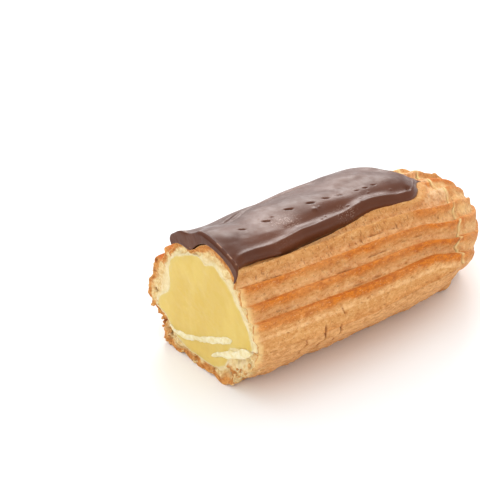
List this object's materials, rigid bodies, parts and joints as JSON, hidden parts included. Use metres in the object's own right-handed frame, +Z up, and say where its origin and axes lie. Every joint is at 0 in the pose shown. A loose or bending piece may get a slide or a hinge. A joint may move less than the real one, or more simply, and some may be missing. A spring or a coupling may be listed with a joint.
{
  "type": "chocolate eclair half",
  "caption": "Finger-shaped choux pastry with a rounded end and a straight cut end, piped ridges along its sides, a strip of chocolate icing on top and a custard filling that shows at the cut.",
  "frame": {"origin": "centre of the bounding box, on the table the piece rests on", "axes": "+X along the eclair from the cut face to the rounded end, +Z up towards the icing, -Y the side whose underside is smooth"},
  "size_m": [0.08, 0.0451, 0.035],
  "materials": {
    "choux": "matt, baked",
    "custard": "smooth, moist",
    "icing": "satin"
  },
  "bodies": {
    "root": {"choux_shell": "choux", "custard_filling": "custard", "chocolate_icing": "icing"}
  },
  "joints": []
}
